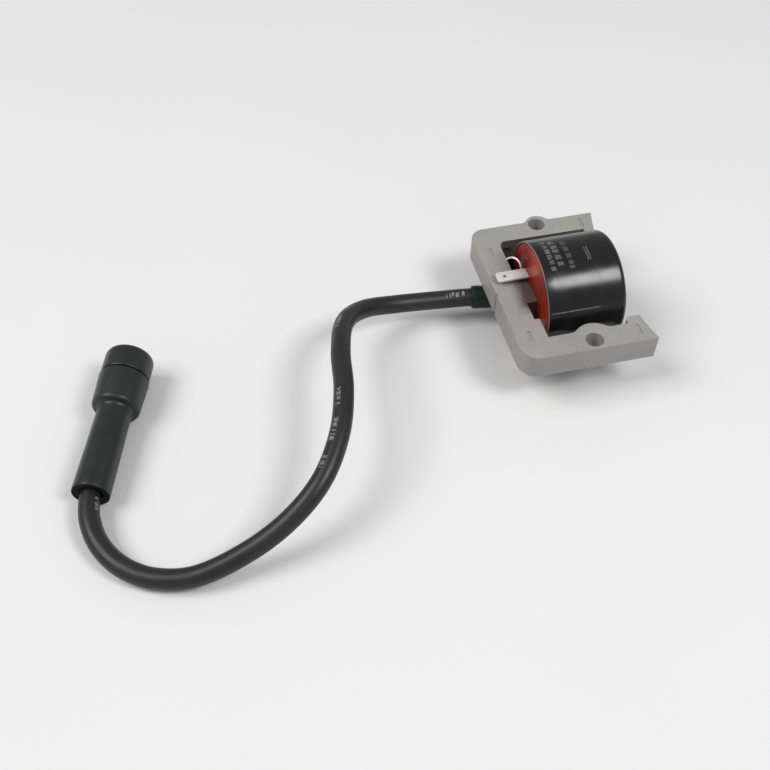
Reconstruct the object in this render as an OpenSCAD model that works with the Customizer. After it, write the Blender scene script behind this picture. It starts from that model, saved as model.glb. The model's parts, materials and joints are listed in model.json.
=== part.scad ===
// Solid-state ignition coil for a small engine, millimetres.
// Origin: midway between the two mounting holes, on the underside of the core.
// +Z is the lamination normal, +X runs along the legs to the flywheel side.

/* [Core] */
// Width of the yoke that joins the legs
yoke_w = 9.6; // [8:0.2:11]
// Thickness of one lamination sheet
sheet_t = 0.7; // [0.6:0.05:0.8]
// Number of lamination sheets
sheets = 14; // [12:1:15]
// Width of the centre leg inside the coil
centre_w = 16.4; // [15:0.2:16.6]
// Distance from coil axis to the inside of each outer leg
window_half = 26; // [25.5:0.1:26.5]
// Radius of the flywheel arc cut into the pole tips
pole_arc_r = 135; // [110:5:160]

/* [Mounting holes] */
// Centre distance of the two mounting holes
hole_spacing = 63.5; // [63:0.1:64]
// Radius of each mounting hole
hole_r = 3.3; // [3:0.1:3.5]

/* [Coil] */
// Outer radius of the moulded coil housing
coil_r = 20.4; // [20.2:0.1:20.6]
// Length of the coil housing
coil_len = 30.2; // [29:0.2:31]
// How far the resin face stands proud of the housing rim
resin_proud = 0.4; // [0.2:0.1:0.6]

/* [Lead and boot] */
// Outer radius of the high-tension lead
lead_r = 3.5; // [3.3:0.05:3.5]
// Outer radius of the short sleeve where the lead leaves the coil
sleeve_r = 4.5; // [4.2:0.1:4.6]
// Length of the spark plug boot
boot_len = 59.5; // [58.5:0.5:62]
// Outer radius of the boot head
boot_head_r = 9; // [8.6:0.1:9]

/* [Hidden] */
$fn = 96;
eps = 0.02;
stack = sheet_t * sheets;
axis_y = -0.85;
axis_z = stack / 2;
floor_z = axis_z - coil_r;
yoke_x = -27.2;
inner_x = yoke_x + yoke_w;
far_in = axis_y + window_half;
near_in = axis_y - window_half;
far_out = 33.8;
near_out = -36;
tip_x = 26;
pole_x = 153.5;
pole_y = axis_y - 1.9;
far_hook_x = 17.2;
near_hook_x = 14.7;
hook_h = 3.1;
hole_y = hole_spacing / 2;
weld_y = -2.3;
ear_r = 5;
ear_x = 0.6;
bulge_r = 8;
bulge_x = 0.8;
dimple = [1.3, 4.6, 0.45];
dimples = [[-22, 20], [-21.8, -24.8], [17.6, 28.9], [17.4, -30.4]];

rim_x = -13.2;
end_x = rim_x + coil_len;
cup_in_r = coil_r - 1;
cup_edge_r = 2.2;
cup_floor_x = end_x - 1.8;
rib_y = 13.6;
rib_z = -1.5;
rib_h = 8;
tunnel_x = -11;
tunnel_w = centre_w + 0.4;
tunnel_h = stack + 0.4;
tunnel_wall = 1.2;
tunnel_ow = tunnel_w + 2 * tunnel_wall;
tunnel_oh = tunnel_h + 2 * tunnel_wall;
resin_x = rim_x - resin_proud;
board_x = -7.5;
board_t = 1.2;

bobbin_x = -6.1;
bobbin_len = 19.8;
bobbin_tube_r = 12.25;
bobbin_flange_r = 14.2;
flange_t = 0.8;
wrap_r = 14.6;
sec_tube_r = 15.4;
sec_flange_r = 18.2;
sec_x = -5.9;
sec_len = 19.4;
rib_t = 0.6;
sec_bay = (sec_len - 2 * flange_t - 3 * rib_t) / 4;

lead_start = [-11, 8.9, -4.8];
lead_deg = 170;
sleeve_len = 20.6;
pin_y = 8.25;
outer_pin_at = 16.8;
blade = [16.8, 4.75, 0.8];
blade_x = -25.3;
blade_y = 4.15;
blade_z = axis_z + 6.5;
strap_r = 0.4;
strap_arc_r = 4;
strap_deg = 180;

boot_at = [-179.9, -45, -8.5];
boot_deg = 72.6;
boot_tilt = 2.4;
boot_bore_r = 3.6;
socket_r = 5.6;
socket_x = 49.5;
cavity_r = 5;
clip_r = 3.2;
clip_x = 39;
clip_len = 10;

// route of the lead: out of the sleeve, up in a low arch, down to the floor, into the boot
boot_u = [cos(boot_deg) * cos(boot_tilt), sin(boot_deg) * cos(boot_tilt), sin(boot_tilt)];
sleeve_end = lead_start + sleeve_len * [cos(lead_deg), sin(lead_deg), 0];
route = [
    lead_start,
    sleeve_end,
    [-43.3, 14, -5],
    [-61, 14, -3.4],
    [-74.9, 9.2, 1.7],
    [-84.1, -1.2, 7.1],
    [-89, -18.4, 11.1],
    [-91.5, -35.6, 11.4],
    [-96.3, -52, 9.8],
    [-104.9, -65.9, 5.9],
    [-116.8, -74.4, 0],
    [-131.3, -79.4, -6],
    [-148.5, -82.2, -10.2],
    [-161.8, -79.6, -11.3],
    [-171.7, -73.2, -11],
    [-178, -64.3, -10],
    [-180.6, -54.5, -9.1],
    boot_at,
    boot_at + 10 * boot_u,
    boot_at + 35 * boot_u
];
lead_sides = 12;
steps = 2;

// four-point curve through the route
function curve(a, b, c, d, t) = 0.5 * (2 * b + (c - a) * t + (2 * a - 5 * b + 4 * c - d) * t * t
    + (3 * b - a - 3 * c + d) * t * t * t);
function clampi(i, n) = min(max(i, 0), n - 1);
function at(p, i, t) = curve(p[clampi(i - 1, len(p))], p[i], p[i + 1], p[clampi(i + 2, len(p))], t);
function path(p, k) = concat([for (i = [0 : len(p) - 2], j = [0 : k - 1]) at(p, i, j / k)], [p[len(p) - 1]]);
function unit(v) = v / norm(v);
function along(c, i) = unit(c[min(i + 1, len(c) - 1)] - c[max(i - 1, 0)]);
function ring(o, t, r, n) = let (s = unit(cross([0, 0, 1], t)), u = cross(t, s))
    [for (k = [0 : n - 1]) o + r * (cos(360 * k / n) * s + sin(360 * k / n) * u)];

module swept_tube(p, r, n, k) {
    c = path(p, k);
    m = len(c);
    pts = [for (i = [0 : m - 1]) each ring(c[i], along(c, i), r, n)];
    walls = [for (i = [0 : m - 2], j = [0 : n - 1])
        [i * n + j, i * n + (j + 1) % n, (i + 1) * n + (j + 1) % n, (i + 1) * n + j]];
    caps = [[for (j = [0 : n - 1]) n - 1 - j], [for (j = [0 : n - 1]) (m - 1) * n + j]];
    polyhedron(points = pts, faces = [for (f = concat(walls, caps)) [for (q = [len(f) - 1 : -1 : 0]) f[q]]]);
}

module along_x(x, y = 0, z = 0) {
    translate([x, axis_y + y, axis_z + z]) rotate([0, 90, 0]) children();
}

module tube_x(x, length, ro, ri) {
    along_x(x) difference() {
        cylinder(r = ro, h = length);
        translate([0, 0, -1]) cylinder(r = ri, h = length + 2);
    }
}

module block(x0, y0, z0, x1, y1, z1) {
    translate([x0, y0, z0]) cube([x1 - x0, y1 - y0, z1 - z0]);
}

// block centred on the coil axis, for what passes through the windings
module axis_block(x0, x1, w, h) {
    block(x0, axis_y - w / 2, axis_z - h / 2, x1, axis_y + w / 2, axis_z + h / 2);
}

// cuts an outside corner at (x, y) to radius r; sx and sy point out of the corner
module corner_cut(x, y, r, sx, sy, z0, h) {
    cx = x - sx * r;
    cy = y - sy * r;
    difference() {
        block(min(cx, x + sx), min(cy, y + sy), z0 - 1, max(cx, x + sx), max(cy, y + sy), z0 + h + 1);
        translate([cx, cy, z0 - 2]) cylinder(r = r, h = h + 4);
    }
}

// fills an inside corner at (x, y) to radius r; sx and sy point into the open side
module corner_fill(x, y, r, sx, sy, z0, h) {
    cx = x + sx * r;
    cy = y + sy * r;
    difference() {
        block(min(cx, x - sx), min(cy, y - sy), z0, max(cx, x - sx), max(cy, y - sy), z0 + h);
        translate([cx, cy, z0 - 1]) cylinder(r = r, h = h + 2);
    }
}

// round ear of radius re on the edge y = edge, cut off at y = back, blended in with radius rf
module ear(x, y, re, edge, back, s, rf, z0, h) {
    cy = edge + s * rf;
    dx = sqrt(pow(re + rf, 2) - pow(cy - y, 2));
    ty = y + (cy - y) * re / (re + rf);
    intersection() {
        translate([x, y, z0]) cylinder(r = re, h = h);
        block(x - re, min(back, y + s * re), z0 - 1, x + re, max(back, y + s * re) + eps, z0 + h + 1);
    }
    difference() {
        block(x - dx, min(edge - s, ty), z0, x + dx, max(edge - s, ty), z0 + h);
        for (q = [-1, 1]) translate([x + q * dx, cy, z0 - 1]) cylinder(r = rf, h = h + 2);
    }
}

module core_sheet(z0, h) {
    difference() {
        union() {
            block(yoke_x, near_out, z0, inner_x, far_out, z0 + h);
            block(inner_x - 1, far_in, z0, tip_x, far_out, z0 + h);
            block(inner_x - 1, near_out, z0, tip_x, near_in, z0 + h);
            block(inner_x - 1, axis_y - centre_w / 2, z0, tip_x, axis_y + centre_w / 2, z0 + h);
            block(far_hook_x, far_in - hook_h, z0, tip_x, far_in + 1, z0 + h);
            block(near_hook_x, near_in - 1, z0, tip_x, near_in + hook_h, z0 + h);
            block(inner_x - 1, near_in - 1, z0, inner_x + 2, near_in + 9.4, z0 + h);
            corner_fill(inner_x, far_in, 2.4, 1, -1, z0, h);
            ear(ear_x, hole_y, ear_r, far_out, far_in, 1, 2, z0, h);
            ear(bulge_x, -hole_y, bulge_r, near_in, near_out, 1, 4, z0, h);
        }
        corner_cut(yoke_x, far_out, 5.5, -1, 1, z0, h);
        corner_cut(yoke_x, near_out, 7, -1, -1, z0, h);
        corner_cut(near_hook_x, near_in + hook_h, 1.6, -1, 1, z0, h);
        corner_cut(inner_x + 2, near_in + 9.4, 0.8, 1, 1, z0, h);
        translate([pole_x, pole_y, z0 - 1]) cylinder(r = pole_arc_r, h = h + 2, $fn = 360);
        for (s = [-1, 1]) translate([0, s * hole_y, z0 - 1]) cylinder(r = hole_r, h = h + 2);
        translate([yoke_x, weld_y, z0 - 1]) cylinder(r = 0.8, h = h + 2, $fn = 32);
    }
}

module core_top_sheet() {
    color([0.64, 0.62, 0.58]) difference() {
        core_sheet(stack - sheet_t, sheet_t);
        for (d = dimples) translate([d[0], d[1], stack - dimple[2] / 2 + 0.5])
            cube(dimple + [0, 0, 1], center = true);
    }
}

module core_inner_sheets() {
    color([0.6, 0.58, 0.55]) core_sheet(sheet_t, stack - 2 * sheet_t);
}

module core_bottom_sheet() {
    color([0.62, 0.6, 0.56]) core_sheet(0, sheet_t);
}

module coil_housing() {
    color([0.05, 0.05, 0.06]) difference() {
        union() {
            along_x(rim_x) cylinder(r = coil_r, h = coil_len - cup_edge_r);
            along_x(end_x - cup_edge_r - eps) rotate_extrude() union() {
                square([coil_r - cup_edge_r, cup_edge_r + eps]);
                intersection() {
                    translate([coil_r - cup_edge_r, eps]) circle(r = cup_edge_r);
                    square([coil_r, cup_edge_r + eps]);
                }
            }
            along_x(0) seam_line();
            window_rib();
        }
        difference() {
            along_x(rim_x - 1) cylinder(r = cup_in_r, h = cup_floor_x - rim_x + 1);
            axis_block(tunnel_x, end_x, tunnel_ow, tunnel_oh);
        }
        axis_block(rim_x - 2, end_x + 1, tunnel_w, tunnel_h);
    }
}

// block of the housing that fills the window corner between the yoke and the far leg
module window_rib() {
    difference() {
        block(inner_x + 0.15, rib_y, rib_z, rim_x + 1, far_in - 0.15, rib_z + rib_h);
        corner_cut(inner_x + 0.15, far_in - 0.15, 2.4, -1, 1, rib_z, rib_h);
    }
}

// raised moulding line on the housing, low on the near side
module seam_line() {
    rotate([0, 0, 157]) translate([0, coil_r, 0]) translate([0, 0, rim_x + 3]) {
        translate([-0.3, -0.6, -2]) cube([0.6, 0.85, 18.5]);
        translate([-0.3, -0.6, 16]) cube([1.6, 0.85, 0.6]);
    }
}

module sleeve_bore(r, extra) {
    translate(lead_start) rotate([0, 0, lead_deg]) rotate([0, 90, 0])
        translate([0, 0, -extra]) cylinder(r = r, h = sleeve_len + 2 * extra);
}

module potting_resin() {
    color([0.62, 0.1, 0.04]) difference() {
        along_x(resin_x) cylinder(r = cup_in_r - eps, h = board_x - resin_x - eps);
        axis_block(tunnel_x - eps, board_x + 1, tunnel_ow + 2 * eps, tunnel_oh + 2 * eps);
        axis_block(resin_x - 1, tunnel_x + 1, tunnel_w, tunnel_h);
        sleeve_bore(sleeve_r, 0);
        conductor_coil_end();
        high_voltage_pin();
        power_transistor();
        control_chip();
        bias_resistor();
        flyback_diode();
        kill_terminal();
        ground_strap();
    }
}

module flanged_bobbin(x, length, tube_r, flange_r) {
    along_x(x) {
        cylinder(r = tube_r, h = length);
        cylinder(r = flange_r, h = flange_t);
        translate([0, 0, length - flange_t]) cylinder(r = flange_r, h = flange_t);
    }
}

module primary_bobbin() {
    color([0.85, 0.82, 0.7]) difference() {
        flanged_bobbin(bobbin_x, bobbin_len, bobbin_tube_r, bobbin_flange_r);
        axis_block(bobbin_x - 1, bobbin_x + bobbin_len + 1, tunnel_ow + 2 * eps, tunnel_oh + 2 * eps);
    }
}

module primary_winding() {
    color([0.72, 0.36, 0.16])
        tube_x(bobbin_x + flange_t + eps, bobbin_len - 2 * (flange_t + eps), 13.9, bobbin_tube_r + eps);
}

module winding_insulation() {
    color([0.82, 0.72, 0.45]) tube_x(bobbin_x, bobbin_len, wrap_r, bobbin_flange_r + eps);
}

module secondary_bobbin() {
    color([0.9, 0.9, 0.86]) difference() {
        union() {
            flanged_bobbin(sec_x, sec_len, sec_tube_r, sec_flange_r);
            for (i = [1 : 3]) along_x(sec_x + flange_t + i * sec_bay + (i - 1) * rib_t)
                cylinder(r = 18, h = rib_t);
        }
        along_x(sec_x - 1) cylinder(r = wrap_r + eps, h = sec_len + 2);
        high_voltage_pin();
    }
}

module secondary_winding() {
    color([0.66, 0.3, 0.14]) for (i = [0 : 3])
        tube_x(sec_x + flange_t + i * (sec_bay + rib_t) + eps, sec_bay - 2 * eps, 17.6, sec_tube_r + eps);
}

module circuit_board() {
    color([0.1, 0.35, 0.16]) difference() {
        along_x(board_x) cylinder(r = 18.4, h = board_t);
        axis_block(board_x - 1, board_x + board_t + 1, tunnel_ow + 0.3, tunnel_oh + 0.3);
        high_voltage_pin();
        primary_wires();
        legs();
    }
}

// wire legs of the parts on the board, ending flush with its back
module leg(y, z, length) {
    along_x(board_x + board_t - length, y, z) cylinder(r = 0.35, h = length);
}

module transistor_legs() {
    for (y = [-2.5, 0, 2.5]) leg(y, 11.5, 2.5);
}

module resistor_legs() {
    for (z = [-0.6, 4.6]) leg(14, z, 3);
}

module diode_legs() {
    for (y = [-9.4, -5]) leg(y, -11, 3);
}

module chip_legs() {
    for (z = [-2.6, 0, 2.6]) leg(-13.4, z, 2.5);
}

module legs() {
    transistor_legs();
    resistor_legs();
    diode_legs();
    chip_legs();
}

module power_transistor() {
    color([0.12, 0.12, 0.13]) {
        block(board_x - 3.4, axis_y - 4.6, axis_z + 8.6, board_x, axis_y + 4.6, axis_z + 14.6);
        transistor_legs();
    }
}

module control_chip() {
    color([0.08, 0.08, 0.09]) {
        block(board_x - 2.2, axis_y - 15.4, axis_z - 4, board_x, axis_y - 11.4, axis_z + 4);
        chip_legs();
    }
}

module bias_resistor() {
    color([0.75, 0.6, 0.4]) {
        translate([board_x - 1.3, axis_y + 14, axis_z - 1.6]) cylinder(r = 1.2, h = 7.2);
        resistor_legs();
    }
}

module flyback_diode() {
    color([0.15, 0.15, 0.16]) {
        translate([board_x - 1.45, axis_y - 10.2, axis_z - 11]) rotate([-90, 0, 0]) cylinder(r = 1.35, h = 6);
        diode_legs();
    }
}

// tinned jumpers from the primary winding to the board
module primary_wires() {
    color([0.8, 0.5, 0.3]) for (z = [-13.1, 13.1])
        along_x(board_x, 3.4 * sign(z), z) cylinder(r = 0.3, h = bobbin_x - board_x - eps);
}

// contact pin through the board, joined behind it to a second pin in the outer bobbin's flange
module high_voltage_pin() {
    pin_z = lead_start[2] - axis_z;
    pin_w = pin_y - axis_y;
    pin_at = norm([pin_w, pin_z]);
    back_x = board_x + board_t + 0.02;
    color([0.8, 0.65, 0.3]) {
        along_x(board_x - 1, pin_w, pin_z) cylinder(r = 0.8, h = board_t + 1.1);
        along_x(sec_x - 0.3, pin_w * outer_pin_at / pin_at, pin_z * outer_pin_at / pin_at)
            cylinder(r = 0.6, h = flange_t + 0.28);
        along_x(back_x) rotate([0, 0, atan2(pin_w, -pin_z)])
            translate([pin_at, -0.4, 0]) cube([outer_pin_at - pin_at, 0.8, 0.13]);
    }
}

module kill_terminal() {
    color([0.82, 0.8, 0.76]) difference() {
        block(blade_x, blade_y - blade[1] / 2, blade_z, blade_x + blade[0], blade_y + blade[1] / 2,
            blade_z + blade[2]);
        for (s = [-1, 1]) translate([blade_x, blade_y + s * blade[1] / 2, blade_z - 1])
            rotate([0, 0, 45]) cube([1.1, 1.1, 6], center = true);
        translate([blade_x + 3.2, blade_y, blade_z - 1]) cylinder(r = 0.7, h = blade[2] + 2, $fn = 32);
    }
}

// bare wire that arches from the yoke into the resin
module ground_strap() {
    color([0.85, 0.78, 0.72]) translate([-15.5, 11.9, 7.6]) rotate([0, 0, -50]) rotate([70, 0, 0])
        rotate_extrude(angle = strap_deg) translate([strap_arc_r, 0]) circle(r = strap_r, $fn = 24);
}

module lead_sleeve() {
    color([0.05, 0.2, 0.15]) difference() {
        sleeve_bore(sleeve_r, 0);
        sleeve_bore(lead_r + 0.1, 1);
    }
}

module ignition_lead() {
    color([0.1, 0.1, 0.11]) swept_tube(route, lead_r, lead_sides, steps);
}

module conductor_coil_end() {
    color([0.8, 0.78, 0.74]) translate([board_x - 1 - eps, pin_y, lead_start[2]])
        rotate([0, -90, 0]) cylinder(r = 0.9, h = board_x - 1 - eps - lead_start[0] - 0.15, $fn = 32);
}

// local Z runs along the boot from its cable end to its plug end
module in_boot() {
    translate(boot_at) rotate([0, 0, boot_deg]) rotate([0, 90 - boot_tilt, 0]) children();
}

module conductor_plug_end() {
    color([0.8, 0.78, 0.74]) in_boot() translate([0, 0, 35]) cylinder(r = 0.9, h = 3, $fn = 32);
}

module crimp_ferrule() {
    color([0.78, 0.62, 0.28]) in_boot() translate([0, 0, 35.3]) difference() {
        cylinder(r = 2, h = clip_x - 36.3);
        translate([0, 0, -1]) cylinder(r = 0.9, h = clip_x);
    }
}

module plug_clip() {
    color([0.75, 0.75, 0.73]) in_boot() translate([0, 0, clip_x - 1]) difference() {
        union() {
            cylinder(r = clip_r + 0.5, h = clip_len + 1);
            translate([0, 0, clip_len - 1.4]) cylinder(r1 = clip_r + 0.5, r2 = clip_r + 1, h = 2.4);
        }
        translate([0, 0, 1]) cylinder(r = clip_r, h = clip_len + 1);
        for (a = [0, 120, 240]) rotate([0, 0, a]) translate([0, -0.6, 4]) cube([6, 1.2, 20]);
    }
}

module plug_boot() {
    h = boot_head_r;
    l = boot_len;
    color([0.17, 0.18, 0.18]) in_boot() rotate_extrude() polygon([
        [5.6, 0], [6.1, 0], [6.45, 0.5], [6.5, 1.6], [6.05, 33.6], [6.2, 34.3], [6.9, 34.8], [7.7, 35.1],
        [8.3, 35.8], [8.55, 36.9], [h, 48.4], [h, 48.8], [h - 0.3, 49.1], [h - 0.25, l - 2.6],
        [h - 0.6, l - 1.3], [h - 1.4, l - 0.4], [h - 2.6, l], [socket_r + 0.5, l], [socket_r, l - 0.8],
        [socket_r, socket_x], [cavity_r, socket_x], [cavity_r, 36.6], [boot_bore_r, 36.6], [boot_bore_r, 11], [5.4, 1]]);
}

core_top_sheet();
core_inner_sheets();
core_bottom_sheet();
coil_housing();
potting_resin();
primary_bobbin();
primary_winding();
winding_insulation();
secondary_bobbin();
secondary_winding();
circuit_board();
power_transistor();
control_chip();
bias_resistor();
flyback_diode();
primary_wires();
high_voltage_pin();
kill_terminal();
ground_strap();
lead_sleeve();
ignition_lead();
conductor_coil_end();
conductor_plug_end();
crimp_ferrule();
plug_clip();
plug_boot();
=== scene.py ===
import json
import math
import random

import bmesh
import bpy
from mathutils import Matrix, Vector, noise

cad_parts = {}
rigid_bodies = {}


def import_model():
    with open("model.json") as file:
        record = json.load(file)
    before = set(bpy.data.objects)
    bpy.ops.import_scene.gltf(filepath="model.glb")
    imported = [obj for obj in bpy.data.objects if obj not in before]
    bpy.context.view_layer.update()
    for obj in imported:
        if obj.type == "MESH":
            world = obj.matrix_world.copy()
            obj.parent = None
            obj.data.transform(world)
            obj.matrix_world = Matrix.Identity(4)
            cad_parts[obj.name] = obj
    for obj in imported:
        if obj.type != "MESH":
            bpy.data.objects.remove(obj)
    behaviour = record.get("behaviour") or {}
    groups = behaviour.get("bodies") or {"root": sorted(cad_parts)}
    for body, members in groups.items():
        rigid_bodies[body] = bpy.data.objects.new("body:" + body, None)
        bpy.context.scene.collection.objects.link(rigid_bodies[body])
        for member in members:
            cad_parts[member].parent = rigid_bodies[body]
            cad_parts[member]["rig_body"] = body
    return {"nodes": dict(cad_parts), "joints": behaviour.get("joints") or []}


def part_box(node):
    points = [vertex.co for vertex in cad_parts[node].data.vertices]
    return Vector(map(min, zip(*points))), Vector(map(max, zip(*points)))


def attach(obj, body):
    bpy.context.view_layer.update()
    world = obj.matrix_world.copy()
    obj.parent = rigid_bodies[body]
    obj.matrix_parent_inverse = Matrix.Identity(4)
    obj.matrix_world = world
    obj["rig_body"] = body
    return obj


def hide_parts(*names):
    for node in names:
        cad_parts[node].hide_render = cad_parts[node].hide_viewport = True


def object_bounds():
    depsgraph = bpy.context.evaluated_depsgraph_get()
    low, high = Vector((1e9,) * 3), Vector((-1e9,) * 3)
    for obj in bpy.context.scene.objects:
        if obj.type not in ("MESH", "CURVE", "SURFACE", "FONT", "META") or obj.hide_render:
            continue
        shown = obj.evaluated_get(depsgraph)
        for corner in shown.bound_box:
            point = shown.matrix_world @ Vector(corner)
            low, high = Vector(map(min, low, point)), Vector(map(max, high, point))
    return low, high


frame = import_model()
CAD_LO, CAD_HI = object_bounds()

MM = 0.001
NO_RADIUS = 1e-9
WELD = 0.002 * MM
SCENE = bpy.context.scene
X, Y, Z = Vector((1, 0, 0)), Vector((0, 1, 0)), Vector((0, 0, 1))


# ---------------------------------------------------------------- positions

def joint(name):
    return next(j for j in frame["joints"] if j["name"] == name)


COIL_LO, COIL_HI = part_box("coil_housing")
RIM_X, END_X = -13.2 * MM, COIL_HI.x  # the coil cup's open rim and closed end
CORE_LO, CORE_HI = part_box("core_inner_sheets")
SHEET_LO, SHEET_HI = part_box("core_bottom_sheet")
SHEET_T = SHEET_HI.z - SHEET_LO.z
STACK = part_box("core_top_sheet")[1].z
BOBBIN_LO, BOBBIN_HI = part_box("primary_bobbin")
AXIS = Vector((0, (BOBBIN_LO.y + BOBBIN_HI.y) / 2, STACK / 2))
COIL_R = STACK / 2 - COIL_LO.z
CUP_R = COIL_R - 1.0 * MM
TUNNEL = Vector((0, 16.8, 10.2)) * MM  # the centre leg's hole through the coil
TUNNEL_WALL = 1.2 * MM
TUNNEL_X = -11 * MM
LEG_HALF = 8.6 * MM  # half the centre leg's width
FAR_IN = AXIS.y + 26 * MM  # the far leg's inner side
LEGS_FROM = -17.7 * MM  # the yoke's inner side
FLOOR_Z = CAD_LO.z

BOOT_AXIS = Vector(joint("boot_swivel")["axis"]).normalized()
BOOT_MOUTH = Vector(joint("boot_swivel")["pos_m"]) - BOOT_AXIS * 20 * MM  # its cable end

# the lead's route, as in the CAD model
LEAD_START = Vector((-11, 8.9, -4.8)) * MM
LEAD_DIR = Vector((math.cos(math.radians(170)), math.sin(math.radians(170)), 0))
SLEEVE_LEN = 20.6 * MM
ROUTE = [LEAD_START, LEAD_START + LEAD_DIR * SLEEVE_LEN] + [Vector(p) * MM for p in (
    (-43.3, 14, -5), (-61, 14, -3.4), (-74.9, 9.2, 1.7), (-84.1, -1.2, 7.1), (-89, -18.4, 11.1),
    (-91.5, -35.6, 11.4), (-96.3, -52, 9.8), (-104.9, -65.9, 5.9), (-116.8, -74.4, 0),
    (-131.3, -79.4, -6), (-148.5, -82.2, -10.2), (-161.8, -79.6, -11.3), (-171.7, -73.2, -11),
    (-178, -64.3, -10), (-180.6, -54.5, -9.1))] + [
    BOOT_MOUTH, BOOT_MOUTH + BOOT_AXIS * 10 * MM, BOOT_MOUTH + BOOT_AXIS * 35 * MM]
LEAD_R = 3.5 * MM


# ---------------------------------------------------------------- camera

# fitted to the edges of the core and the coil in the photo
CAM_PLACE = (-0.12969, -0.24922, 0.26907)
CAM_RIGHT = (0.9729, -0.2313, 0.0062)
CAM_BACK = (-0.1545, -0.6296, 0.7614)


def photo_camera():
    data = bpy.data.cameras.new("camera")
    data.sensor_width = 36
    data.lens = 46.81
    data.shift_y = -0.00195
    data.clip_start = 0.01
    data.clip_end = 20
    obj = bpy.data.objects.new("camera", data)
    SCENE.collection.objects.link(obj)
    back = Vector(CAM_BACK).normalized()
    up = back.cross(Vector(CAM_RIGHT).normalized()).normalized()
    right = up.cross(back)
    obj.matrix_world = Matrix.Translation(CAM_PLACE) @ Matrix((right, up, back)).transposed().to_4x4()
    SCENE.camera = obj


photo_camera()


# ---------------------------------------------------------------- mesh helpers

def shade_smooth(bm, angle):
    """Shades bm smooth but for edges sharper than angle, in degrees."""
    limit = math.radians(angle)
    for e in bm.edges:
        e.smooth = not (len(e.link_faces) == 2 and e.calc_face_angle(0) > limit)
    for f in bm.faces:
        f.smooth = True


def new_object(name, bm, angle=35, materials=()):
    """Makes an object from bm, with edges sharper than angle left sharp, and frees bm."""
    bmesh.ops.recalc_face_normals(bm, faces=bm.faces)
    shade_smooth(bm, angle)
    mesh = bpy.data.meshes.new(name)
    bm.to_mesh(mesh)
    bm.free()
    for m in materials:
        mesh.materials.append(m)
    obj = bpy.data.objects.new(name, mesh)
    SCENE.collection.objects.link(obj)
    return obj


def finish_piece(obj, body, slot, *nodes):
    """Puts obj on body, in place of the CAD nodes. The slot argument is not used."""
    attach(obj, body)
    if nodes:
        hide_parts(*nodes)


def arc(cx, cy, r, a0, a1, n):
    """n + 1 points of an arc of a profile, in degrees."""
    return [(cx + r * math.cos(math.radians(a0 + (a1 - a0) * i / n)),
             cy + r * math.sin(math.radians(a0 + (a1 - a0) * i / n))) for i in range(n + 1)]


def lathe(bm, profile, origin, axis, side, segments, closed=True, pick=None):
    """Turns profile, (distance along axis, radius) in metres, about axis.

    pick(distance, radius, angle) gives a face's material.
    """
    other = axis.cross(side)
    turns = [2 * math.pi * k / segments for k in range(segments)]
    rings = []
    for s, r in profile:
        centre = origin + axis * s
        if r < NO_RADIUS:
            rings.append([bm.verts.new(centre)])
            continue
        rings.append([bm.verts.new(centre + side * (r * math.cos(a)) + other * (r * math.sin(a)))
                      for a in turns])
    pairs = list(zip(range(len(rings) - 1), range(1, len(rings))))
    if closed:
        pairs.append((len(rings) - 1, 0))
    for i, j in pairs:
        a, b = rings[i], rings[j]
        for k in range(segments):
            n = (k + 1) % segments
            if len(a) == 1 and len(b) == 1:
                continue
            if len(a) == 1:
                f = bm.faces.new((a[0], b[k], b[n]))
            elif len(b) == 1:
                f = bm.faces.new((a[k], b[0], a[n]))
            else:
                f = bm.faces.new((a[k], b[k], b[n], a[n]))
            if pick:
                s, r = [(u + v) / 2 for u, v in zip(profile[i], profile[j])]
                f.material_index = pick(s, r, 360 * (k + 0.5) / segments)
    return bm


def curve_points(route, steps):
    """Catmull-Rom points through route."""
    out = []
    n = len(route)
    for i in range(n - 1):
        a, b = route[max(i - 1, 0)], route[i]
        c, d = route[i + 1], route[min(i + 2, n - 1)]
        for j in range(steps):
            t = j / steps
            out.append(0.5 * (2 * b + (c - a) * t + (2 * a - 5 * b + 4 * c - d) * t * t
                              + (3 * b - a - 3 * c + d) * t ** 3))
    out.append(route[-1].copy())
    return out


def even_points(points, gap):
    """The same line with points a constant gap apart, and its length."""
    length = [0.0]
    for a, b in zip(points, points[1:]):
        length.append(length[-1] + (b - a).length)
    count = max(2, round(length[-1] / gap))
    out, k = [], 0
    for i in range(count + 1):
        want = length[-1] * i / count
        while k < len(points) - 2 and length[k + 1] < want:
            k += 1
        span = length[k + 1] - length[k]
        out.append(points[k].lerp(points[k + 1], (want - length[k]) / span if span else 0))
    return out, length[-1]


def sweep(bm, points, radius, sides, pick=None):
    """A round tube along points; its angle 90 is up. pick(distance, angle) gives a face's material."""
    rings, dist, far = [], [], 0.0
    for i, p in enumerate(points):
        t = (points[min(i + 1, len(points) - 1)] - points[max(i - 1, 0)]).normalized()
        s = Z.cross(t).normalized()
        u = t.cross(s)
        far += (p - points[i - 1]).length if i else 0
        dist.append(far)
        rings.append([bm.verts.new(p + s * (radius * math.cos(a)) + u * (radius * math.sin(a)))
                      for a in (2 * math.pi * k / sides for k in range(sides))])
    for i in range(len(rings) - 1):
        for k in range(sides):
            n = (k + 1) % sides
            f = bm.faces.new((rings[i][k], rings[i + 1][k], rings[i + 1][n], rings[i][n]))
            if pick:
                f.material_index = pick(dist[i], 360 * (k + 0.5) / sides)
    bm.faces.new(list(reversed(rings[0])))
    bm.faces.new(rings[-1])
    return bm


def solid_box(lo, hi):
    """A box to cut or join with."""
    bm = bmesh.new()
    bmesh.ops.create_cube(bm, size=1)
    for v in bm.verts:
        v.co = Vector([lo[i] if v.co[i] < 0 else hi[i] for i in range(3)])
    return new_object("tool", bm)


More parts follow.
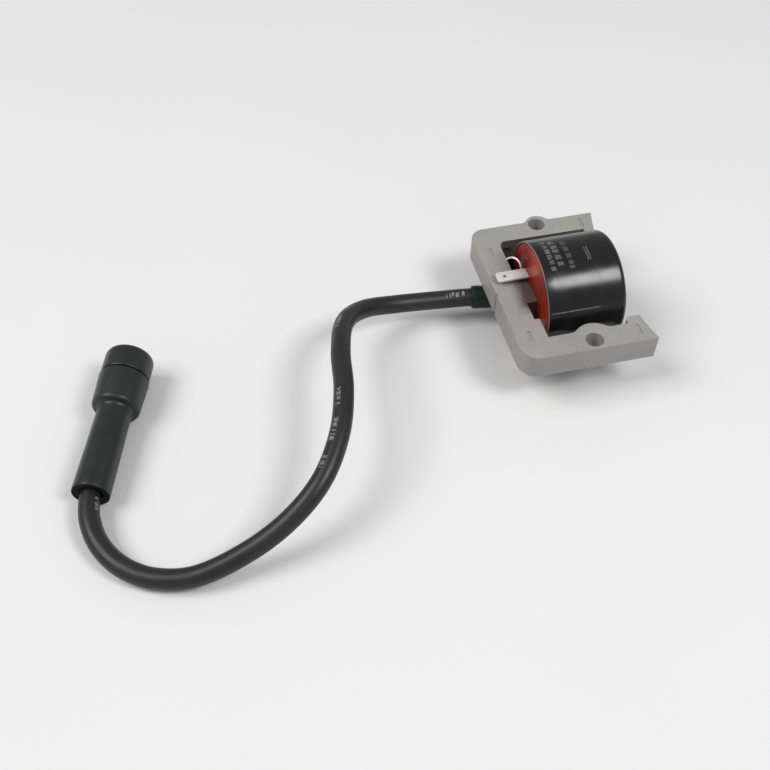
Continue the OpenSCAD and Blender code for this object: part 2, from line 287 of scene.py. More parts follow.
def cut(obj, tool, how="DIFFERENCE"):
    """Applies a boolean of tool to obj and removes tool."""
    mod = obj.modifiers.new("cut", "BOOLEAN")
    mod.operation, mod.object, mod.solver = how, tool, "EXACT"
    bpy.context.view_layer.update()
    made = bpy.data.meshes.new_from_object(obj.evaluated_get(bpy.context.evaluated_depsgraph_get()))
    obj.modifiers.remove(mod)
    obj.data = made
    bpy.data.objects.remove(tool)


def cad_bmesh(node):
    """The mesh of a CAD node, welded."""
    bm = bmesh.new()
    bm.from_mesh(frame["nodes"][node].data)
    bmesh.ops.remove_doubles(bm, verts=bm.verts, dist=WELD)
    return bm


def bevel_sharp(bm, width, segments=2, angle=40):
    """Rounds the edges of bm that are sharper than angle."""
    bm.normal_update()
    edges = [e for e in bm.edges if len(e.link_faces) == 2 and e.calc_face_angle(0) > math.radians(angle)]
    bmesh.ops.bevel(bm, geom=edges, offset=width, segments=segments, profile=0.6, affect="EDGES",
                    clamp_overlap=False)
    return bm


# ---------------------------------------------------------------- materials

class Nodes:
    """A material's node tree, with short calls for what the finishes need."""

    def __init__(self, name):
        self.mat = bpy.data.materials.new(name)
        self.mat.use_nodes = True
        self.tree = self.mat.node_tree
        self.tree.nodes.clear()
        self.out = self.add("ShaderNodeOutputMaterial")
        self.bsdf = self.add("ShaderNodeBsdfPrincipled")
        self.link(self.bsdf.outputs[0], self.out.inputs["Surface"])
        self.place = self.add("ShaderNodeTexCoord").outputs["Object"]

    def add(self, kind, **values):
        node = self.tree.nodes.new(kind)
        for k, v in values.items():
            setattr(node, k, v)
        return node

    def link(self, a, b):
        self.tree.links.new(a, b)

    def feed(self, socket, value):
        """Gives socket a value, or links it where the value is a node's output."""
        if isinstance(value, bpy.types.NodeSocket):
            self.link(value, socket)
        else:
            socket.default_value = value

    def noise(self, scale, detail=4, rough=0.55, stretch=None, distort=0.0):
        n = self.add("ShaderNodeTexNoise")
        n.inputs["Scale"].default_value = scale
        n.inputs["Detail"].default_value = detail
        n.inputs["Roughness"].default_value = rough
        n.inputs["Distortion"].default_value = distort
        where = self.place
        if stretch:
            m = self.add("ShaderNodeMapping")
            m.inputs["Scale"].default_value = stretch
            self.link(where, m.inputs["Vector"])
            where = m.outputs[0]
        self.link(where, n.inputs["Vector"])
        return n.outputs["Fac"]

    def ramp(self, fac, *stops):
        r = self.add("ShaderNodeValToRGB")
        e = r.color_ramp.elements
        while len(e) > 1:
            e.remove(e[-1])
        e[0].position, e[0].color = stops[0][0], (*stops[0][1], 1)
        for at, colour in stops[1:]:
            e.new(at).color = (*colour, 1)
        self.link(fac, r.inputs[0])
        return r.outputs[0]

    def to_range(self, fac, lo, hi, a=0.3, b=0.7):
        m = self.add("ShaderNodeMapRange")
        for key, v in (("From Min", a), ("From Max", b), ("To Min", lo), ("To Max", hi)):
            m.inputs[key].default_value = v
        self.link(fac, m.inputs["Value"])
        return m.outputs[0]

    def mix(self, fac, a, b, blend="MIX"):
        m = self.add("ShaderNodeMix", data_type="RGBA", blend_type=blend)
        for key, v in ((0, fac), (6, a), (7, b)):
            self.feed(m.inputs[key], (*v, 1) if isinstance(v, tuple) else v)
        return m.outputs[2]

    def bump(self, height, strength, distance, normal=None):
        b = self.add("ShaderNodeBump")
        b.inputs["Strength"].default_value = strength
        b.inputs["Distance"].default_value = distance
        self.link(height, b.inputs["Height"])
        if normal:
            self.link(normal, b.inputs["Normal"])
        return b.outputs[0]

    def math(self, how, *values):
        m = self.add("ShaderNodeMath", operation=how)
        for socket, v in zip(m.inputs, values):
            self.feed(socket, v)
        return m.outputs[0]

    def fold(self, how, first, *rest):
        """how, which is ADD or MULTIPLY, over all the values."""
        for v in rest:
            first = self.math(how, first, v)
        return first

    def xyz(self):
        """The three outputs of a point's place in the object."""
        split = self.add("ShaderNodeSeparateXYZ")
        self.link(self.place, split.inputs[0])
        return split.outputs

    def near_resin(self):
        """Rises to 0.95 on the yoke's edge and the centre leg by the resin, where the steel is tinted: partly
        a resin stain, partly painted reflection of the red resin and painted shade.
        """
        x, y, z = self.xyz()
        off = self.math("SUBTRACT", y, AXIS.y)
        far = self.to_range(off, 1.0, 0.0, LEG_HALF - 0.3 * MM, LEG_HALF + 0.2 * MM)
        near = self.to_range(off, 0.0, 1.0, -14.5 * MM, -8.8 * MM)
        wander = self.to_range(self.noise(300, 4), -0.8 * MM, 0.8 * MM)
        below = self.math("MULTIPLY", self.math("LESS_THAN", z, STACK - 0.3 * MM), 1.6 * MM)
        skew = self.math("MULTIPLY", off, -0.2)
        reach = self.fold("ADD", x, wander, below, skew)
        along = self.to_range(reach, 0.0, 0.95, -20.2 * MM, -16.6 * MM)
        mouth = self.math("LESS_THAN", x, -8 * MM)
        return self.fold("MULTIPLY", far, near, along, mouth)

    def low_side(self, at, wide):
        """1 on the legs' upright faces within wide of y = at, and 0 elsewhere."""
        x, y, z = self.xyz()
        off = self.math("ABSOLUTE", self.math("SUBTRACT", y, at))
        return self.fold("MULTIPLY", self.math("LESS_THAN", off, wide),
                         self.math("LESS_THAN", z, STACK - 0.1 * MM), self.math("GREATER_THAN", x, LEGS_FROM))

    def set(self, **values):
        """Sets the shader's own inputs to plain values."""
        for key, v in values.items():
            self.bsdf.inputs[key.replace("_", " ")].default_value = v

    def use(self, **values):
        """Links nodes' outputs to the shader's inputs."""
        for key, v in values.items():
            self.link(v, self.bsdf.inputs[key.replace("_", " ")])


def shade(colour, k):
    """colour made k times as bright."""
    return tuple(min(1.0, v * k) for v in colour)


def grey(level):
    return level, level, level


def finish(name, colour, rough, spread=0.12, metal=0.0, grain=900, relief=0.04):
    """A plain finish: patches and grain in colour and gloss, and a fine relief."""
    n = Nodes(name)
    patches, fine = n.noise(60, 4), n.noise(grain, 3, 0.6)
    base = n.ramp(patches, (0.3, shade(colour, 1 - spread)), (0.5, colour), (0.72, shade(colour, 1 + spread)))
    speck = n.ramp(fine, (0.32, grey(0.9)), (0.6, grey(1)), (0.8, grey(1.06)))
    n.use(Base_Color=n.mix(1.0, base, speck, "MULTIPLY"),
          Roughness=n.to_range(patches, rough * 0.86, rough * 1.14),
          Normal=n.bump(fine, relief, 0.06 * MM))
    n.set(Metallic=metal)
    return n.mat


def core_paint():
    """Thin warm grey lacquer, satin, with rub marks, painted shade on the far leg's inner side, and by the
    resin a stain with painted reflection of the red resin and painted shade.
    """
    n = Nodes("core_lacquer")
    patches, fine = n.noise(45, 5), n.noise(1400, 3, 0.65)
    marks = n.noise(260, 6, 0.7, distort=0.6)
    base = n.ramp(patches, (0.28, (0.257, 0.244, 0.226)), (0.5, (0.281, 0.268, 0.25)),
                  (0.74, (0.307, 0.294, 0.275)))
    speck = n.ramp(fine, (0.3, grey(0.86)), (0.55, grey(1)), (0.8, grey(1.07)))
    paint = n.mix(1.0, base, speck, "MULTIPLY")
    rubbed = n.mix(n.to_range(marks, 0.0, 1.0, 0.7, 0.8), paint, (0.17, 0.155, 0.14))
    # painted shade: the far leg's inner side face, deep in the window by the coil, is darkened
    far_wall_painted_shade = n.mix(n.low_side(FAR_IN, 0.3 * MM), rubbed, (0.075, 0.07, 0.063))
    # by the resin: brownish on top, dark red on the centre leg's upright sides; a resin stain with painted
    # reflection of the resin and painted shade on the sides
    stain_reflection_and_shade = n.mix(n.low_side(AXIS.y, LEG_HALF), (0.082, 0.058, 0.048), (0.055, 0.009, 0.006))
    n.use(Base_Color=n.mix(n.near_resin(), far_wall_painted_shade, stain_reflection_and_shade),
          Roughness=n.to_range(patches, 0.34, 0.5),
          Normal=n.bump(fine, 0.22, 0.05 * MM, n.bump(patches, 0.12, 0.4 * MM)))
    return n.mat


def black_plastic():
    """Glossy black moulding with faint flow marks, dust and hairline scratches."""
    n = Nodes("black_moulding")
    flow = n.noise(120, 4, 0.5, stretch=(1, 0.35, 0.35))
    dust = n.noise(2600, 2, 0.7)
    hair = n.noise(900, 3, 0.6, stretch=(0.06, 1, 1))
    base = n.ramp(flow, (0.3, (0.004, 0.004, 0.0045)), (0.7, (0.008, 0.008, 0.009)))
    specks = n.to_range(dust, 0.0, 0.05, 0.7, 0.82)
    scratch = n.to_range(hair, 0.0, 0.035, 0.66, 0.78)
    dusted = n.mix(specks, base, (0.32, 0.32, 0.31))
    n.use(Base_Color=n.mix(scratch, dusted, grey(0.2)),
          Roughness=n.to_range(flow, 0.18, 0.27),
          Normal=n.bump(flow, 0.16, 0.16 * MM, n.bump(hair, 0.05, 0.03 * MM)))
    n.set(Specular_IOR_Level=0.42)
    return n.mat


def ink(name, under, colour, amount, grain=1500):
    """Worn printing: the ink has rubbed off in small spots and shows what is under it."""
    n = Nodes(name)
    gaps = n.noise(grain, 4, 0.75)
    soft = n.noise(260, 3, 0.5)
    mask = n.to_range(gaps, 1.0, 0.0, amount - 0.08, amount + 0.06)
    shown = n.mix(n.to_range(soft, 0.55, 1.0), under, colour)
    n.use(Base_Color=n.mix(mask, under, shown), Roughness=n.to_range(gaps, 0.35, 0.6))
    n.set(Specular_IOR_Level=0.4)
    return n.mat


def resin_red():
    """Glossy potting resin, deep red where it is thick and orange-red where the light gets in."""
    n = Nodes("potting_resin_red")
    cloud, fine = n.noise(70, 3, 0.5, distort=0.3), n.noise(700, 3)
    base = n.ramp(cloud, (0.3, (0.06, 0.003, 0.001)), (0.48, (0.19, 0.012, 0.004)),
                  (0.72, (0.38, 0.045, 0.012)))
    n.use(Base_Color=base, Roughness=n.to_range(cloud, 0.42, 0.26),
          Normal=n.bump(cloud, 0.15, 0.6 * MM, n.bump(fine, 0.06, 0.05 * MM)))
    n.set(Specular_IOR_Level=0.24)
    return n.mat


def rubber(name, colour, rough, dusty=0.05, grain=1500, spec=0.42):
    """Matte rubber with a fine grain, a little dust and rubbed patches."""
    n = Nodes(name)
    rubbed, fine = n.noise(70, 5, 0.6), n.noise(grain, 3, 0.7)
    dust = n.noise(3200, 2, 0.75)
    base = n.ramp(rubbed, (0.28, shade(colour, 0.82)), (0.5, colour), (0.75, shade(colour, 1.25)))
    n.use(Base_Color=n.mix(n.to_range(dust, 0.0, dusty, 0.66, 0.8), base, (0.35, 0.35, 0.34)),
          Roughness=n.to_range(rubbed, rough * 0.88, rough * 1.1),
          Normal=n.bump(fine, 0.22, 0.05 * MM, n.bump(rubbed, 0.1, 0.3 * MM)))
    n.set(Specular_IOR_Level=spec)
    return n.mat


def tinned():
    """Bright tinned metal with fine rolling marks."""
    n = Nodes("tinned_bright")
    roll, patch = n.noise(2400, 3, 0.6, stretch=(0.05, 1, 1)), n.noise(220, 4)
    base = n.ramp(patch, (0.3, (0.74, 0.71, 0.68)), (0.7, (0.88, 0.85, 0.82)))
    n.use(Base_Color=base, Roughness=n.to_range(roll, 0.26, 0.42), Normal=n.bump(roll, 0.12, 0.04 * MM))
    n.set(Metallic=0.55)
    return n.mat


BAND_PERIOD = 0.314  # of a wave texture's bands at a scale of 1


def wound(name, colour, pitch):
    """Enamelled wire laid in turns, pitch apart, about the coil axis."""
    n = Nodes(name)
    w = n.add("ShaderNodeTexWave", wave_type="BANDS", bands_direction="X", wave_profile="SIN")
    w.inputs["Scale"].default_value = BAND_PERIOD / pitch
    w.inputs["Distortion"].default_value = 0.4
    n.link(n.place, w.inputs["Vector"])
    patch = n.noise(150, 3)
    base = n.ramp(patch, (0.3, shade(colour, 0.75)), (0.7, shade(colour, 1.15)))
    # painted shade: the wire's colour is darkened in the gaps between turns
    gaps = n.ramp(w.outputs["Fac"], (0.0, (0.5, 0.45, 0.4)), (0.5, grey(1)))
    n.use(Base_Color=n.mix(1.0, base, gaps, "MULTIPLY"),
          Normal=n.bump(w.outputs["Fac"], 0.5, 0.1 * MM),
          Roughness=n.to_range(patch, 0.28, 0.4))
    n.set(Metallic=0.9)
    return n.mat


MAT = {
    "core": core_paint(),
    "black": black_plastic(),
    "line": finish("mould_line_black", (0.02, 0.02, 0.021), 0.34, 0.2, grain=1600),
    "resin": resin_red(),
    "lead": rubber("lead_jacket_black", (0.012, 0.012, 0.0125), 0.42, 0.05, spec=0.4),
    "boot": rubber("boot_rubber_grey", (0.0125, 0.0136, 0.0138), 0.38, 0.03, 1100, spec=0.42),
    "sleeve": rubber("sleeving_green", (0.0035, 0.0165, 0.010), 0.42, 0.02, 1800, spec=0.26),
    # painted shade: the groove behind the boot's ring is given darker, duller rubber
    "groove": rubber("boot_groove_painted_shade", (0.003, 0.003, 0.003), 0.8, 0.01, spec=0.1),
    # painted shade: the boot's end face, turned away from the light, is given darker, duller rubber
    "cut_face": rubber("boot_end_face_painted_shade", (0.0045, 0.0045, 0.0045), 0.75, 0.01, spec=0.15),
    "tin": tinned(),
    "marks": ink("worn_marks_grey", (0.008, 0.008, 0.009), (0.16, 0.16, 0.158), 0.54),
    "faint_marks": ink("faint_marks_grey", (0.008, 0.008, 0.009), (0.085, 0.085, 0.085), 0.54),
    "lead_marks": ink("worn_marks_white", (0.013, 0.013, 0.0135), (0.26, 0.26, 0.255), 0.53, 1900),
    # the rim's pinkish grey: partly a painted highlight along the rim's edge, partly a thin resin smear
    "rim": finish("rim_highlight_and_resin_smear", (0.20, 0.14, 0.125), 0.42, 0.35, grain=1800),
    "nylon": finish("natural_nylon", (0.72, 0.68, 0.52), 0.5, 0.08),
    "film": finish("wrap_film", (0.66, 0.48, 0.17), 0.35, 0.1, grain=500),
    "board": finish("board_green", (0.02, 0.12, 0.04), 0.4, 0.15, grain=1800, relief=0.1),
    "epoxy": finish("moulded_black", (0.03, 0.03, 0.032), 0.45, 0.15, grain=1600, relief=0.12),
    "tan": finish("tan_lacquer", (0.5, 0.33, 0.15), 0.35, 0.1),
    "brass": finish("plain_brass", (0.66, 0.46, 0.16), 0.3, 0.1, metal=1.0, grain=1500),
    "spring": finish("zinc_spring", (0.55, 0.55, 0.54), 0.32, 0.12, metal=1.0, grain=1700),
    "primary": wound("primary_wire", (0.62, 0.24, 0.09), 0.45 * MM),
    "secondary": wound("secondary_wire", (0.5, 0.16, 0.06), 0.18 * MM),
}


# ---------------------------------------------------------------- the lead (the cord comes first)

line, LEAD_LEN = even_points(curve_points(ROUTE, 24), 0.5 * MM)
rnd = random.Random(7)

# worn print on the lead: plain dashes in groups, each group between two distances from the coil's end
MARK_GROUPS = ((23, 31), (60, 64), (72, 76), (81, 88), (118, 126), (130, 139), (144, 149), (250, 256))
lead_spans = []
for first, last in MARK_GROUPS:
    at = first * MM
    while at < last * MM:
        size = rnd.choice((0.5, 1.0, 1.5)) * MM
        lead_spans.append((at, at + size, rnd.uniform(-4, 4)))
        at += size + rnd.choice((0.5, 1.0)) * MM


def rise(x, lo, hi):
    """0 up to lo, 1 from hi, and straight between."""
    return min(1.0, max(0.0, (x - lo) / (hi - lo)))


def lead_mark(dist, angle):
    """1 on the dashes: they run near the top of the lead and drift round it, by two slow turns."""
    middle = 72 + 46 * rise(dist / MM, 32, 60) + 27 * rise(dist / MM, 180, 240)
    half = 14
    return int(any(a <= dist < b and abs(angle - middle - shift) < half for a, b, shift in lead_spans))


lead = new_object("high_tension_lead", sweep(bmesh.new(), line, LEAD_R, 48, lead_mark), 50,
                  (MAT["lead"], MAT["lead_marks"]))
finish_piece(lead, "coil_module", "lead_jacket", "ignition_lead")


# ---------------------------------------------------------------- boot

GROOVE_FROM, GROOVE_TO = 48.4 * MM, 49.38 * MM
CUT_FACE_DEEP, CUT_FACE_R = 0.3 * MM, 6.4 * MM


def boot_profile():
    """(along the boot, radius) from the cable end round the outside, back down the inside. Millimetres."""
    length, shoulder, lip = 59.5, 34.98, 2.2
    # flared cable end and its cut face
    p = [(11.0, 3.6), (6.0, 3.72), (3.0, 3.8), (1.2, 3.9), (0.6, 4.0), (0.3, 4.2), (0.2, 4.5), (0.1, 5.2),
         (0.0, 5.9), (0.04, 6.15), (0.14, 6.33), (0.4, 6.43), (1.8, 6.48)]
    # slightly tapered neck, then the round shoulder
    p += [(1.8 + 31.4 * i / 20, 6.48 - 0.43 * (i / 20)) for i in range(1, 21)]
    p += [(33.8, 6.08), (34.3, 6.2), (34.65, 6.42), (34.85, 6.75), (shoulder, 7.15)]
    p += [(shoulder + 1.5 * (1 - math.cos(math.radians(a))), 7.15 + 1.36 * math.sin(math.radians(a)))
          for a in (12, 24, 36, 48, 60, 70, 80, 90)]
    # head, groove, ring and the rounded open end
    p += [(37.4, 8.56), (39.5, 8.63), (42.0, 8.74), (44.5, 8.85), (47.0, 8.95), (48.0, 8.99), (48.3, 8.98),
          (48.45, 8.9), (48.5, 8.7), (48.53, 8.3), (48.75, 8.15), (49.05, 8.15), (49.3, 8.3), (49.4, 8.55),
          (49.7, 8.66), (50.4, 8.7), (52.0, 8.74), (54.5, 8.77), (56.0, 8.77)]
    p += [(length - lip + lip * math.sin(math.radians(a)), 6.57 + lip * math.cos(math.radians(a)))
          for a in range(0, 91, 15)]
    # socket, step, clip space and the lead's bore
    p += [(length, 6.3), (length - 0.12, 6.05), (length - 0.5, 5.75), (length - 0.9, 5.62), (length - 2, 5.6),
          (49.7, 5.6), (49.5, 5.45), (49.5, 5.15), (49.3, 5.0), (43.0, 5.0), (37.0, 5.0), (36.7, 4.9),
          (36.6, 4.6), (36.6, 3.75), (36.4, 3.6), (30.0, 3.6), (20.0, 3.6)]
    return [(s * MM, r * MM) for s, r in p]


def boot_pick(s, r, angle):
    """1 in the groove behind the head's ring and 2 on the cut face at the cable end, both darker rubber as
    painted shade; 0 elsewhere.
    """
    if s < CUT_FACE_DEEP and r < CUT_FACE_R:
        return 2
    return int(GROOVE_FROM < s < GROOVE_TO and r > 8 * MM)


boot_side = (Z - BOOT_AXIS * BOOT_AXIS.z).normalized()
boot_bm = lathe(bmesh.new(), boot_profile(), BOOT_MOUTH, BOOT_AXIS, boot_side, 144, pick=boot_pick)
boot = new_object("plug_boot_rubber", boot_bm, 50, (MAT["boot"], MAT["groove"], MAT["cut_face"]))
finish_piece(boot, "boot", "boot_rubber", "plug_boot")


# ---------------------------------------------------------------- sleeve

def sleeve_profile():
    """(along the sleeve, radius): a tube whose outside is a little uneven."""
    ro, ri, n = 4.5, 3.6, 40
    outer = [(0.35 + 19.9 * i / n, ro - 0.05 + 0.05 * math.sin(i * 0.9) * math.sin(i * 0.23))
             for i in range(n + 1)]
    p = [(0.0, ri + 0.1), (0.0, ro - 0.3), (0.12, ro - 0.1)] + outer
    p += [(20.45, ro - 0.12), (20.58, ro - 0.32), (20.6, ro - 0.5), (20.56, ri + 0.15), (20.3, ri)]
    p += [(10.0, ri), (0.2, ri)]
    return [(s * MM, r * MM) for s, r in p]


sleeve = new_object("sleeve_green", lathe(bmesh.new(), sleeve_profile(), LEAD_START, LEAD_DIR, Z, 96), 50,
                    (MAT["sleeve"],))
finish_piece(sleeve, "coil_module", "green_sleeve", "lead_sleeve")


# ---------------------------------------------------------------- core

def refine(node, name, width, slot, material):
    """A copy of a CAD node with its sharp edges rounded, which stands for the node."""
    obj = new_object(name, bevel_sharp(cad_bmesh(node), width), 30, (material,))
    finish_piece(obj, frame["nodes"][node]["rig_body"], slot, node)


def sheet_stack():
    """The inner laminations, one above the other, each the bottom sheet's shape with broken edges."""
    one = bevel_sharp(cad_bmesh("core_bottom_sheet"), 0.045 * MM, 1)
    mesh = bpy.data.meshes.new("one_sheet")
    one.to_mesh(mesh)
    one.free()
    bm = bmesh.new()
    count = round((CORE_HI.z - CORE_LO.z) / SHEET_T)
    for k in range(count):
        start = len(bm.verts)
        bm.from_mesh(mesh)
        bm.verts.ensure_lookup_table()
        for v in bm.verts[start:]:
            v.co.z += SHEET_T * (k + 1)
    bpy.data.meshes.remove(mesh)
    return bm


stack = new_object("core_laminations", sheet_stack(), 30, (MAT["core"],))
finish_piece(stack, "coil_module", "core_sheet_steel", "core_inner_sheets")
refine("core_top_sheet", "core_lamination_top", 0.12 * MM, "core_sheet_steel", MAT["core"])
refine("core_bottom_sheet", "core_lamination_bottom", 0.07 * MM, "core_sheet_steel", MAT["core"])


# ---------------------------------------------------------------- coil housing

PLAIN, PRINT, RIM, FAINT = range(4)  # the housing's materials
ROWS = [(-9.7, -7.9, PRINT), (-6.9, -4.7, PRINT), (-2.7, -0.9, FAINT)]  # rows of print, in mm along X
BARS = [(4.6, 5.0), (5.5, 5.9)]
BARS_FROM, BARS_TO = 88, 106  # degrees round the coil, where 90 is the top

row_cells = []
for row in range(len(ROWS)):
    cells, angle = [], 69 + 2 * row
    while angle < 110:
        wide = rnd.choice((4.5, 6.0, 7.5))
        cells.append((angle, min(angle + wide, 112)))
        angle += wide + rnd.choice((1.5, 3.0))
    row_cells.append(cells)


def housing_pick(s, r, angle):
    """The material of a face of the housing: plain bars stand for the print, and the rim is a lighter pinkish
    grey, partly a painted highlight and partly a thin resin smear.
    """
    x = s / MM
    if r < COIL_R - 0.05 * MM:
        return RIM if s < RIM_X + 0.2 * MM and r > COIL_R - 0.52 * MM else PLAIN
    for (x0, x1, kind), cells in zip(ROWS, row_cells):
        if x0 < x < x1 and any(a < angle < b for a, b in cells):
            return kind
    if any(x0 < x < x1 for x0, x1 in BARS) and BARS_FROM < angle < BARS_TO:
        return PRINT
    return PLAIN


def housing_profile():
    """(along X, radius) of the cup, from its floor's middle round the rim to its closed end's middle."""
    rim, end, ro, ri = RIM_X / MM, END_X / MM, COIL_R / MM, CUP_R / MM
    floor, corner = end - 1.8, 2.2
    p = [(floor, 0.0), (floor, ri - 0.6), (floor - 0.18, ri - 0.18), (floor - 0.6, ri), (rim + 0.5, ri),
         (rim + 0.12, ri + 0.03), (rim, ri + 0.12), (rim, ro - 0.5), (rim + 0.04, ro - 0.2),
         (rim + 0.2, ro - 0.05)]
    breaks = sorted({rim + 0.5, *(v for row in ROWS + BARS for v in row[:2]), 8.0, 11.0, end - corner})
    p += [(v, ro) for v in breaks]
    p += arc(end - corner, ro - corner, corner, 90, 0, 10)[1:]
    p += [(end, ro - 6), (end, 0.0)]
    return [(s * MM, r * MM) for s, r in p]


def housing_moulding():
    """The cup, with the centre leg's walled tunnel through it."""
    bm = lathe(bmesh.new(), housing_profile(), AXIS, X, Y, 240, closed=False, pick=housing_pick)
    obj = new_object("coil_housing_moulding", bm, 40,
                     (MAT["black"], MAT["marks"], MAT["rim"], MAT["faint_marks"]))
    hole = Vector((0, TUNNEL.y / 2, TUNNEL.z / 2))
    wall = Vector((0, TUNNEL.y / 2 + TUNNEL_WALL, TUNNEL.z / 2 + TUNNEL_WALL))
    past = 2 * MM
    cut(obj, solid_box(AXIS - wall + X * TUNNEL_X, AXIS + wall + X * (END_X - 0.9 * MM)), "UNION")
    cut(obj, solid_box(AXIS - hole + X * (RIM_X - past), AXIS + hole + X * (END_X + past)))
    bm = bmesh.new()
    bm.from_mesh(obj.data)
    shade_smooth(bm, 40)
    bm.to_mesh(obj.data)
    bm.free()
    return obj


housing = housing_moulding()
finish_piece(housing, "coil_module", "housing_plastic", "coil_housing")


def seam():
    """The raised moulding line on the near side of the housing, with its small hooked end."""
    bm = bmesh.new()
    place = math.radians(157)
    x0, x1 = RIM_X + 1.0 * MM, RIM_X + 19.4 * MM

    def point(x, along, high):
        """A point at x, high over the housing's outside and a way along its curve from the line's place."""
        r = COIL_R + high
        a = place + along / COIL_R
        return AXIS + X * x + Y * (r * math.cos(a)) + Z * (r * math.sin(a))

    shape = [(-0.5, -0.15), (-0.38, 0.03), (-0.2, 0.17), (0, 0.22), (0.2, 0.17), (0.38, 0.03), (0.5, -0.15)]
    spine = [(x0 + (x1 - x0) * i / 24, 0.0) for i in range(25)]
    spine += [(x1 + 0.25 * MM, -0.35 * MM), (x1 + 0.3 * MM, -1.0 * MM)]
    rings = []
    for i, (x, hook) in enumerate(spine):
        fade = min(1.0, i / 2 + 0.15, (len(spine) - 1 - i) / 1.5 + 0.2)
        rings.append([bm.verts.new(point(x, hook + w * MM, h * MM * (fade if h > 0 else 1)))
                      for w, h in shape])
    for a, b in zip(rings, rings[1:]):
        for k in range(len(shape)):
            n = (k + 1) % len(shape)
            bm.faces.new((a[k], b[k], b[n], a[n]))
    bm.faces.new(rings[0])
    bm.faces.new(list(reversed(rings[-1])))
    return bm


def window_rib():
    """The block of the housing that fills the window's corner between the yoke and the far leg."""
    lo = Vector((COIL_LO.x, 13.6 * MM, -1.5 * MM))
    hi = Vector((RIM_X + 0.8 * MM, COIL_HI.y, 6.5 * MM))
    corner = 2.4 * MM
    outline = arc(lo.x + corner, hi.y - corner, corner, 180, 90, 8)
    outline += [(hi.x, hi.y), (hi.x, lo.y), (lo.x, lo.y)]
    bm = bmesh.new()
    low = [bm.verts.new((x, y, lo.z)) for x, y in outline]
    high = [bm.verts.new((x, y, hi.z)) for x, y in outline]
    bm.faces.new(low)
    bm.faces.new(high)
    for k in range(len(low)):
        n = (k + 1) % len(low)
        bm.faces.new((low[k], low[n], high[n], high[k]))
    bmesh.ops.recalc_face_normals(bm, faces=bm.faces)
    return bevel_sharp(bm, 0.35 * MM, 3, 60)


def rim_plug():
    """A round plug the size of the cup's inside, to cut the rib with."""
    x0, x1 = RIM_X - 2 * MM, RIM_X + 2 * MM
    bm = lathe(bmesh.new(), [(x0, 0.0), (x0, CUP_R), (x1, CUP_R), (x1, 0.0)], AXIS, X, Y, 180, closed=False)
    return new_object("tool", bm)


rib = new_object("housing_window_rib", window_rib(), 40, (MAT["black"],))
cut(rib, rim_plug())
finish_piece(rib, "coil_module", "housing_plastic")

line_piece = new_object("housing_mould_line", seam(), 60, (MAT["line"],))
finish_piece(line_piece, "coil_module", "housing_plastic")


# ---------------------------------------------------------------- resin

def box_edge(a, half):
    """How far out the edge of a box, half its two sides from the middle, lies at the angle a."""
    c, s = abs(math.cos(a)), abs(math.sin(a))
    return min(half[0] / c if c > NO_RADIUS else 1, half[1] / s if s > NO_RADIUS else 1)


def resin():
    """The poured face: it stands a little proud, falls off to the rim, and lies unevenly."""
    bm = bmesh.new()
    steps, around = 22, 192
    face_x, back_x = (corner.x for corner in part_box("potting_resin"))
    small = (TUNNEL.y / 2, TUNNEL.z / 2)
    large = (small[0] + TUNNEL_WALL, small[1] + TUNNEL_WALL)
    outer = CUP_R - 0.03 * MM
    loops = []
    for k in range(around):
        a = 2 * math.pi * (k + 0.5) / around
        inner = box_edge(a, small)
        ring = []
        for i in range(steps + 1):
            t = i / steps
            t = t * t * (3 - 2 * t)
            r = outer + (inner - outer) * t
            y, z = r * math.cos(a), r * math.sin(a)
            fall = 0.42 * math.exp(-(outer - r) / (1.2 * MM))
            wave = 0.16 * noise.noise(Vector((y, z, 0.3)) * 200)
            ripple = 0.05 * noise.noise(Vector((y, z, 1.7)) * 450)
            deep = (max(0.0, 0.08 + wave + ripple) + fall) * MM
            ring.append(bm.verts.new(AXIS + Vector((face_x + deep, y, z))))
        for x, half in ((TUNNEL_X, small), (TUNNEL_X, large), (back_x, large)):
            r = box_edge(a, half)
            ring.append(bm.verts.new(AXIS + Vector((x, r * math.cos(a), r * math.sin(a)))))
        ring.append(bm.verts.new(AXIS + Vector((back_x, outer * math.cos(a), outer * math.sin(a)))))
        loops.append(ring)
    for a, b in zip(loops, loops[1:] + loops[:1]):
        for i in range(len(a)):
            j = (i + 1) % len(a)
            bm.faces.new((a[i], b[i], b[j], a[j]))
    return bm


fill = new_object("potting_resin_pour", resin(), 45, (MAT["resin"],))
finish_piece(fill, "coil_module", "red_resin", "potting_resin")


# ---------------------------------------------------------------- terminals

refine("kill_terminal", "kill_blade", 0.14 * MM, "tinned_metal", MAT["tin"])

# the ground wire's arch, from the yoke into the resin
STRAP = [Vector(q) * MM for q in (
    (-18.0, 14.9, 7.7), (-17.9, 15.1, 9.2), (-16.9, 14.9, 10.4), (-15.6, 13.9, 11.3), (-14.5, 12.4, 11.5),
    (-13.9, 10.9, 11.0), (-13.7, 9.7, 9.9), (-13.5, 8.9, 8.4))]
STRAP_R = 0.42 * MM
wire = even_points(curve_points(STRAP, 8), 0.4 * MM)[0]
strap = new_object("ground_strap_wire", sweep(bmesh.new(), wire, STRAP_R, 16), 50, (MAT["tin"],))
finish_piece(strap, "coil_module", "tinned_metal", "ground_strap")

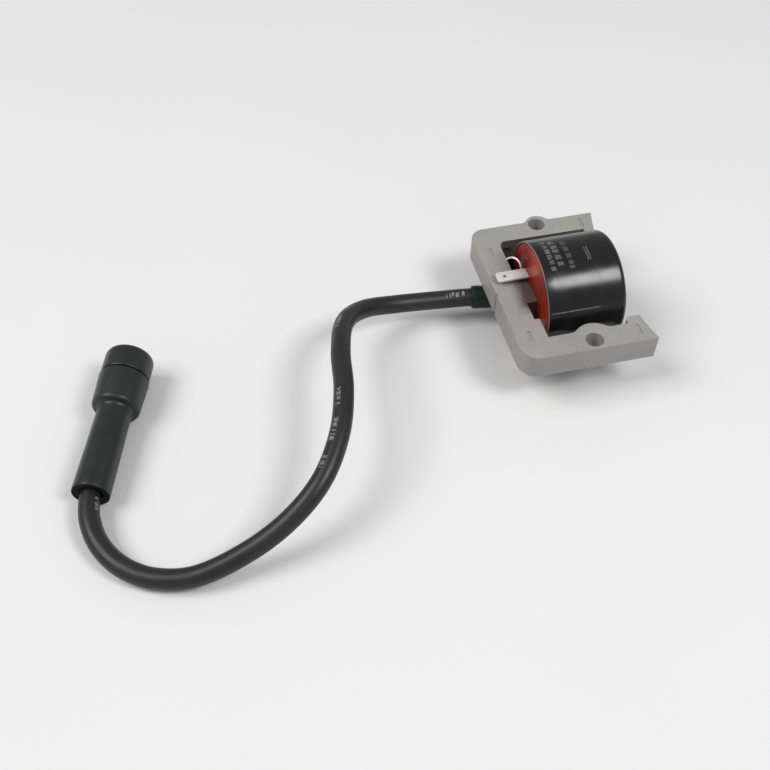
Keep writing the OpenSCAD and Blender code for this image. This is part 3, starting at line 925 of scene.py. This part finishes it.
# the CAD nodes that are shown as they are
FINISHES = {
    "primary_bobbin": "nylon", "primary_winding": "primary", "winding_insulation": "film",
    "secondary_bobbin": "nylon", "secondary_winding": "secondary", "circuit_board": "board",
    "power_transistor": "epoxy", "control_chip": "epoxy", "bias_resistor": "tan", "flyback_diode": "epoxy",
    "primary_wires": "tin", "high_voltage_pin": "brass", "conductor_coil_end": "tin",
    "conductor_plug_end": "tin", "crimp_ferrule": "brass", "plug_clip": "spring",
}
for node, key in FINISHES.items():
    data = frame["nodes"][node].data
    data.materials.clear()
    data.materials.append(MAT[key])


# ---------------------------------------------------------------- floor and light

def floor_sheet():
    """The pale floor, a hair under the lowest point of the part."""
    n = Nodes("floor_pale")
    soft = n.noise(6, 3)
    n.use(Base_Color=n.ramp(soft, (0.3, grey(0.665)), (0.7, grey(0.678))),
          Roughness=n.to_range(soft, 0.78, 0.86))
    n.set(Specular_IOR_Level=0.15)
    bm = bmesh.new()
    bmesh.ops.create_grid(bm, x_segments=4, y_segments=4, size=4)
    for v in bm.verts:
        v.co.z = FLOOR_Z - 0.02 * MM
    obj = new_object("floor", bm, 30, (n.mat,))


def soft_light(name, direction, distance, size, power):
    """A square softbox that shines on the middle of the object from direction."""
    middle = (CAD_LO + CAD_HI) / 2
    data = bpy.data.lights.new(name, "AREA")
    data.shape = "SQUARE"
    data.size = size
    data.energy = power
    obj = bpy.data.objects.new(name, data)
    SCENE.collection.objects.link(obj)
    d = Vector(direction).normalized()
    obj.location = middle + d * distance
    obj.rotation_mode = "QUATERNION"
    obj.rotation_quaternion = d.to_track_quat("Z", "Y")


def even_sky(strength):
    """The same white light from everywhere."""
    world = bpy.data.worlds.new("studio")
    world.use_nodes = True
    background = world.node_tree.nodes["Background"]
    background.inputs["Color"].default_value = (1, 1, 1, 1)
    background.inputs["Strength"].default_value = strength
    SCENE.world = world


floor_sheet()
soft_light("key_left", (-0.66, 0.05, 0.86), distance=1.5, size=0.75, power=14)
soft_light("top_near", (0.48, -0.42, 0.83), distance=1.3, size=0.42, power=8.8)
even_sky(0.42)
SCENE.view_settings.view_transform = "Standard"
SCENE.view_settings.look = "None"
